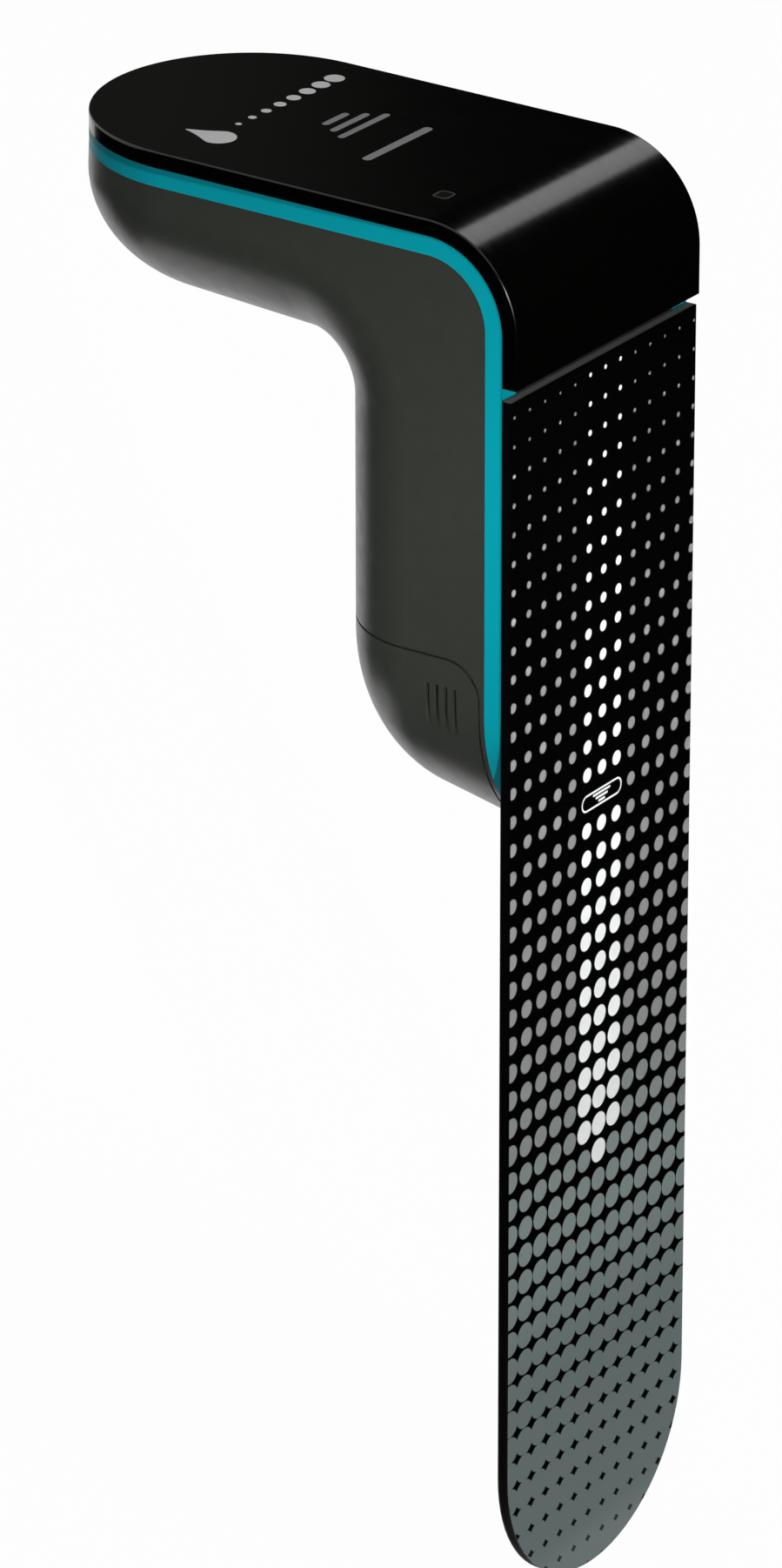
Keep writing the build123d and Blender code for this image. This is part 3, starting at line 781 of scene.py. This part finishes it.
@dataclass
class Marks:
    """Ink marks on the arm's top: a drop with a moisture scale, and plain strokes."""

    tilt: float = math.radians(0.8)
    bend: Point = (-16.5 * MM, 0.0, 105.1 * MM)  # where the bend meets the top
    thickness: float = 0.05 * MM
    proud: float = 0.02 * MM
    segments: int = 40
    drop: Pair = (-65.0 * MM, -15.2 * MM)
    drop_radius: float = 3.0 * MM
    drop_point: float = 3.6 * MM
    drop_taper: float = 0.75  # share by which its point narrows
    scale_count: int = 8
    scale_start: Pair = (-66.0 * MM, -8.2 * MM)
    scale_step: float = 3.9 * MM
    scale_radius: Pair = (0.55 * MM, 0.17 * MM)  # of the first dot and its growth per dot
    short_strokes: tuple[Pair, ...] = (  # place along the arm and half the length
        (-54.6 * MM, 3.4 * MM),
        (-51.8 * MM, 5.2 * MM),
        (-49.0 * MM, 7.0 * MM),
    )
    short_middle: float = 3.0 * MM
    short_thick: float = 1.3 * MM
    long_stroke: float = -39.8 * MM
    long_ends: Pair = (-10.2 * MM, 8.6 * MM)
    long_thick: float = 1.7 * MM
    stroke_segments: int = 24

    def place(self) -> Matrix:
        """Matrix from a flat drawing to the arm's top, with X and Y as in the frame."""
        return Matrix.Translation(self.bend) @ Matrix.Rotation(self.tilt, 4, "Y")

    def shift(self, form: bmesh.types.BMesh, verts: list[bmesh.types.BMVert], place: Pair) -> None:
        """Move what was drawn round the origin to its place.

        Args:
            form: The drawing.
            verts: What was drawn.
            place: X and Y of its middle, in the frame.
        """
        bmesh.ops.translate(form, vec=(place[0] - self.bend[0], place[1], 0.0), verts=verts)

    def plate(self, form: bmesh.types.BMesh) -> None:
        """Turn flat faces into a thin layer of ink.

        Args:
            form: Faces at height 0; the layer's top ends up proud of them.
        """
        faces = bmesh.ops.extrude_face_region(form, geom=form.faces[:], use_keep_orig=True)
        raised = [part for part in faces["geom"] if isinstance(part, bmesh.types.BMVert)]
        bmesh.ops.translate(form, vec=(0.0, 0.0, self.thickness), verts=raised)
        bmesh.ops.translate(form, vec=(0.0, 0.0, self.proud - self.thickness), verts=form.verts[:])
        bmesh.ops.recalc_face_normals(form, faces=form.faces[:])

    def disc(self, form: bmesh.types.BMesh, place: Pair, radius: float, point: float = 0.0) -> None:
        """Draw a disc, or a drop when it has a point.

        Args:
            form: The drawing.
            place: Its middle.
            radius: The disc's radius.
            point: How far the drop's point stands out beyond the disc, towards -X.
        """
        made = bmesh.ops.create_circle(form, cap_ends=True, segments=self.segments, radius=radius)
        for vert in made["verts"]:
            share = max(0.0, -vert.co.x / radius)
            vert.co.x -= point * share**3
            vert.co.y *= 1 - share**2 * min(1.0, point / radius) * self.drop_taper
        self.shift(form, made["verts"], place)

    def stroke(self, form: bmesh.types.BMesh, x: float, ends: Pair, thick: float) -> None:
        """Draw a stroke across the arm with round ends.

        Args:
            form: The drawing.
            x: Place along the arm.
            ends: Its two ends across the arm.
            thick: Its thickness.
        """
        segments = self.stroke_segments
        made = bmesh.ops.create_circle(form, cap_ends=True, segments=segments, radius=thick / 2)
        stretch = (ends[1] - ends[0] - thick) / 2
        for vert in made["verts"]:
            vert.co.y += math.copysign(stretch, vert.co.y)
        self.shift(form, made["verts"], (x, (ends[0] + ends[1]) / 2))

    def ring(self, form: bmesh.types.BMesh, place: Pair, half: Pair, corner: float, line: float) -> None:
        """Draw the outline of a rounded rectangle.

        Args:
            form: The drawing.
            place: Its middle.
            half: Half its size along the arm and across it.
            corner: Radius of its corners, outside.
            line: The outline's thickness.
        """
        made = bmesh.ops.create_circle(form, cap_ends=True, segments=self.segments, radius=corner)
        for vert in made["verts"]:
            vert.co.x += math.copysign(half[0] - corner, vert.co.x)
            vert.co.y += math.copysign(half[1] - corner, vert.co.y)
        self.shift(form, made["verts"], place)
        inner = [made["verts"][0].link_faces[0]]
        bmesh.ops.inset_region(form, faces=inner, thickness=line, use_boundary=True, use_even_offset=True)
        bmesh.ops.delete(form, geom=inner, context="FACES")

    def finish(self, form: bmesh.types.BMesh, name: str, look: Look, dresser: Dresser) -> None:
        """Lay a drawing on the cover as ink.

        Args:
            form: The drawing.
            name: The piece's name.
            look: The finish.
            dresser: Gives the finish.
        """
        self.plate(form)
        bmesh.ops.transform(form, matrix=self.place(), verts=form.verts[:])
        place_piece(form, name, Body.ROOT, look, dresser)

    def build(self, dresser: Dresser) -> None:
        """Build the drop with its scale, and the strokes.

        Args:
            dresser: Gives the finishes.
        """
        scale = bmesh.new()
        self.disc(scale, self.drop, self.drop_radius, self.drop_point)
        for step in range(self.scale_count):
            place = (self.scale_start[0], self.scale_start[1] + self.scale_step * step)
            self.disc(scale, place, self.scale_radius[0] + self.scale_radius[1] * step)
        self.finish(scale, "moisture_scale_mark", Look.INK, dresser)
        strokes = bmesh.new()
        for x, reach in self.short_strokes:
            ends = (self.short_middle - reach, self.short_middle + reach)
            self.stroke(strokes, x, ends, self.short_thick)
        self.stroke(strokes, self.long_stroke, self.long_ends, self.long_thick)
        self.finish(strokes, "stroke_marks", Look.GREY_INK, dresser)


@dataclass
class Housing:
    """Cover, coloured frame and shell of the folded housing."""

    light: Pair = (-20.5 * MM, -16.0 * MM)  # middle of the status light's window
    light_half: Pair = (1.5 * MM, 1.65 * MM)
    light_corner: float = 0.9 * MM
    light_line: float = 0.36 * MM

    def build(self, dresser: Dresser) -> None:
        """Dress the housing and print its marks.

        Args:
            dresser: Gives the finishes.
        """
        dresser.dress(Look.GLOSS, "top_cover")
        dresser.dress(Look.SMOKED, "light_pipe")
        dresser.dress(Look.TEAL, "trim_frame")
        dresser.dress(Look.SHELL, "lower_shell")
        dresser.dress(Look.RUBBER, "shell_gasket")
        dresser.dress(Look.BLACK, "chassis_plate")
        marks = Marks()
        marks.build(dresser)
        outline = bmesh.new()
        marks.ring(outline, self.light, self.light_half, self.light_corner, self.light_line)
        marks.finish(outline, "light_outline_mark", Look.FAINT_INK, dresser)


@dataclass
class Blade:
    """Probe blade with its printed film and its fixings."""

    def build(self, dresser: Dresser) -> None:
        """Dress the blade.

        Args:
            dresser: Gives the finishes.
        """
        dresser.dress(Look.PRINT_FILM, "front_film")
        dresser.dress(Look.FILM, "back_film")
        dresser.dress(Look.CORE, "probe_core")
        dresser.dress(Look.TAPE, "blade_tape")
        dresser.dress(Look.BRASS, "blade_standoffs")
        dresser.dress(Look.STEEL, "blade_screws")


@dataclass
class BatteryBay:
    """Cells, their tray and the cover that slides off below."""

    def build(self, dresser: Dresser) -> None:
        """Dress the battery bay.

        Args:
            dresser: Gives the finishes.
        """
        dresser.dress(Look.SHELL, "battery_cover")
        dresser.dress(Look.SPRING, "bridge_contact", "contact_negative", "contact_positive")
        dresser.dress(Look.BLACK, "battery_tray", "switch_plunger")
        dresser.dress(Look.JACKET, "battery_left", "battery_right")
        dresser.dress(Look.RUBBER, "cover_gasket")
        dresser.dress(Look.LEADS, "battery_leads")
        dresser.dress(Look.TEAL, "pairing_button")


@dataclass
class Electronics:
    """Main board in the arm and the small board of the pairing switch."""

    def build(self, dresser: Dresser) -> None:
        """Dress the electronics.

        Args:
            dresser: Gives the finishes.
        """
        dresser.dress(Look.BOARD, "main_board", "switch_board")
        dresser.dress(Look.TIN, "radio_shield", "antenna")
        dresser.dress(Look.BLACK, "flex_connector", "switch_body")
        dresser.dress(Look.DIODE, "status_led")
        dresser.dress(Look.FLEX, "probe_flex")
        dresser.dress(Look.STEEL, "board_screws", "switch_screws")
        dresser.dress(Look.LEADS, "switch_leads")


def black_paper(name: str) -> Graph:
    """Start the flat black of a studio card.

    Args:
        name: The material's name.

    Returns:
        Its graph.
    """
    graph = Graph(name)
    graph.set(base_color=(0.002, 0.002, 0.002, 1.0), roughness=1.0, specular_ior_level=0.0)
    return graph


def showing_rays(tree: bpy.types.NodeTree) -> Socket:
    """Tell the rays that show a surface from those that it only lights.

    Args:
        tree: Nodes of a world or a material.

    Returns:
        1 for rays of the camera, of gloss and through glass, and 0 for all others.
    """
    path = tree.nodes.new("ShaderNodeLightPath")
    showing = path.outputs["Is Camera Ray"]
    for ray in ("Is Glossy Ray", "Is Transmission Ray"):
        either = tree.nodes.new("ShaderNodeMath")
        either.operation = Operation.MAXIMUM.value
        tree.links.new(showing, either.inputs[0])
        tree.links.new(path.outputs[ray], either.inputs[1])
        showing = either.outputs[0]
    return showing


@dataclass(frozen=True)
class Lamp:
    """Soft rectangular lamp that points at a spot."""

    name: str
    place: Point
    size: Pair
    power: float
    target: Point = (0.0, 0.0, 0.03)
    spread: float = 180.0  # opening angle of its light, in degrees

    def build(self) -> None:
        """Build the lamp."""
        data = bpy.data.lights.new(self.name, "AREA")
        data.shape = "RECTANGLE"
        data.size, data.size_y = self.size
        data.energy = self.power
        data.spread = math.radians(self.spread)
        lamp = add_object(self.name, data)
        lamp.location = self.place
        aim = Vector(self.target) - Vector(self.place)
        lamp.rotation_euler = aim.to_track_quat("-Z", "Y").to_euler()


@dataclass(frozen=True)
class Card:
    """Black card of a product studio, which only gloss sees and which keeps it dark."""

    name: str
    centre: Point
    size: Pair
    normal: Point
    glow: float = 0.0  # light beyond the fade, towards -X
    fade: Pair = (-1.16, -1.0)  # X over which the glow fades
    rest: float = 0.05  # share of the glow that is left after it

    def build(self, material: bpy.types.Material) -> None:
        """Build the card.

        Args:
            material: Black of a card that doesn't glow.
        """
        form = bmesh.new()
        bmesh.ops.create_grid(form, x_segments=1, y_segments=1, size=0.5)
        bmesh.ops.scale(form, vec=(*self.size, 1.0), verts=form.verts[:])
        turn = Vector(self.normal).to_track_quat("Z", "Y").to_matrix().to_4x4()
        bmesh.ops.transform(form, matrix=Matrix.Translation(self.centre) @ turn, verts=form.verts[:])
        mesh = mesh_of(form, self.name)
        mesh.materials.append(self.lit() if self.glow else material)
        card = add_object(self.name, mesh)
        for ray in ("camera", "diffuse", "transmission", "volume_scatter", "shadow"):
            setattr(card, f"visible_{ray}", False)

    def lit(self) -> bpy.types.Material:
        """Build a black that glows faintly towards one end of the card.

        Returns:
            The card's own material.
        """
        graph = black_paper(self.name)
        light = graph.spread(graph.axes["x"], self.fade, (self.glow, self.glow * self.rest))
        graph.set(emission_color=(1.0, 1.0, 0.95, 1.0), emission_strength=light)
        return graph.material


@dataclass
class Studio:
    """Pale floor, even light, soft lamps, black cards and the camera."""

    floor_height: float = -142.5 * MM
    floor_half: float = 30.0  # half the floor's size
    floor_glow: float = 0.975  # share of plain white in what the floor shows, the rest being its paper
    world_light: float = 0.32  # strength of the even light on the object
    camera_place: Point = (0.679557, -1.052602, 0.556037)
    camera_right: Point = (0.825271, 0.564735, -0.001664)
    camera_down: Point = (0.227132, -0.334613, -0.914574)
    lens: float = 191.93  # in millimetres, as the sensor's width
    sensor_width: float = 36.0
    lamps: tuple[Lamp, ...] = (
        Lamp("key", (0.68, -0.62, 0.36), (0.03, 0.03), 0.067, (-0.02, -0.02, 0.05), 14.0),
        Lamp("front", (2.0, -0.4, 0.7), (1.0, 1.0), 21.0),
        Lamp("bend_streak", (-0.055, 0.68, 0.65), (0.26, 0.26), 0.54, (-0.01, 0.0, 0.1)),
    )
    cards: tuple[Card, ...] = (
        Card("far_card", (-0.3, 1.5, 0.9), (5.4, 2.2), (0.0, -1.0, 0.0), 0.05),
        Card("right_floor_card", (1.412, 0.3, -0.14), (2.816, 3.2), (0.0, 0.0, 1.0)),
        Card("near_floor_card", (0.0, -1.62, -0.139), (7.0, 3.02), (0.0, 0.0, 1.0)),
        Card("left_floor_card", (-1.645, -0.04, -0.139), (2.71, 0.14), (0.0, 0.0, 1.0)),
        Card("arm_floor_card", (-1.8, 0.14, -0.139), (2.4, 0.22), (0.0, 0.0, 1.0)),
        Card("grip_floor_card", (-0.13, -0.055, -0.139), (0.11, 0.11), (0.0, 0.0, 1.0)),
        Card("near_card", (0.0, -3.2, 1.3), (8.0, 3.2), (0.0, 1.0, 0.0)),
        Card("right_card", (3.0, 0.0, 1.3), (6.4, 3.2), (-1.0, 0.0, 0.0)),
    )

    def world(self) -> None:
        """Build the even light around the object, which shows as white."""
        world = bpy.data.worlds.new("studio")
        world.use_nodes = True
        tree = world.node_tree
        background = tree.nodes["Background"]
        background.inputs["Color"].default_value = (1.0, 1.0, 1.0, 1.0)
        strength = tree.nodes.new("ShaderNodeMapRange")
        tree.links.new(showing_rays(tree), strength.inputs["Value"])
        strength.inputs["To Min"].default_value = self.world_light
        strength.inputs["To Max"].default_value = 1.0
        tree.links.new(strength.outputs[0], background.inputs["Strength"])
        bpy.context.scene.world = world

    def floor(self) -> None:
        """Build the pale floor under the blade's tip."""
        form = bmesh.new()
        bmesh.ops.create_grid(form, x_segments=1, y_segments=1, size=self.floor_half)
        bmesh.ops.translate(form, vec=(0.0, 0.0, self.floor_height), verts=form.verts[:])
        mesh = mesh_of(form, "floor")
        mesh.materials.append(self.floor_material())
        floor = add_object("floor", mesh)

    def floor_material(self) -> bpy.types.Material:
        """Build the floor's paper, which looks white and keeps a soft shadow.

        Returns:
            The floor's material.
        """
        graph = Graph("white paper")
        graph.set(base_color=(0.9, 0.9, 0.9, 1.0), roughness=0.9, specular_ior_level=0.0)
        glow = graph.tree.nodes.new("ShaderNodeEmission")
        mix = graph.tree.nodes.new("ShaderNodeMixShader")
        share = graph.math(Operation.MULTIPLY, showing_rays(graph.tree), self.floor_glow)
        graph.feed(mix.inputs[0], share)
        graph.feed(mix.inputs[1], graph.shader.outputs[0])
        graph.feed(mix.inputs[2], glow.outputs[0])
        graph.feed(graph.tree.nodes["Material Output"].inputs["Surface"], mix.outputs[0])
        return graph.material

    def camera(self) -> None:
        """Build the camera and make it the scene's own."""
        data = bpy.data.cameras.new("camera")
        data.lens = self.lens
        data.sensor_width = self.sensor_width
        camera = add_object("camera", data)
        right, down = Vector(self.camera_right), Vector(self.camera_down)
        back = right.cross(-down)
        turn = Matrix((right, -down, back)).transposed().to_4x4()
        camera.matrix_world = Matrix.Translation(self.camera_place) @ turn
        bpy.context.scene.camera = camera

    def build(self) -> None:
        """Build the whole studio."""
        self.world()
        self.floor()
        black = black_paper("black card").material
        for card in self.cards:
            card.build(black)
        for lamp in self.lamps:
            lamp.build()
        self.camera()
        bpy.context.scene.view_settings.view_transform = "Standard"


def main() -> None:
    """Load the frame, dress it and light it."""
    logging.basicConfig(level=logging.INFO, format="%(name)s: %(message)s")
    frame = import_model()
    dresser = Dresser(frame)
    for assembly in (Housing(), Blade(), BatteryBay(), Electronics()):
        assembly.build(dresser)
    Studio().build()


if __name__ == "__main__":
    main()
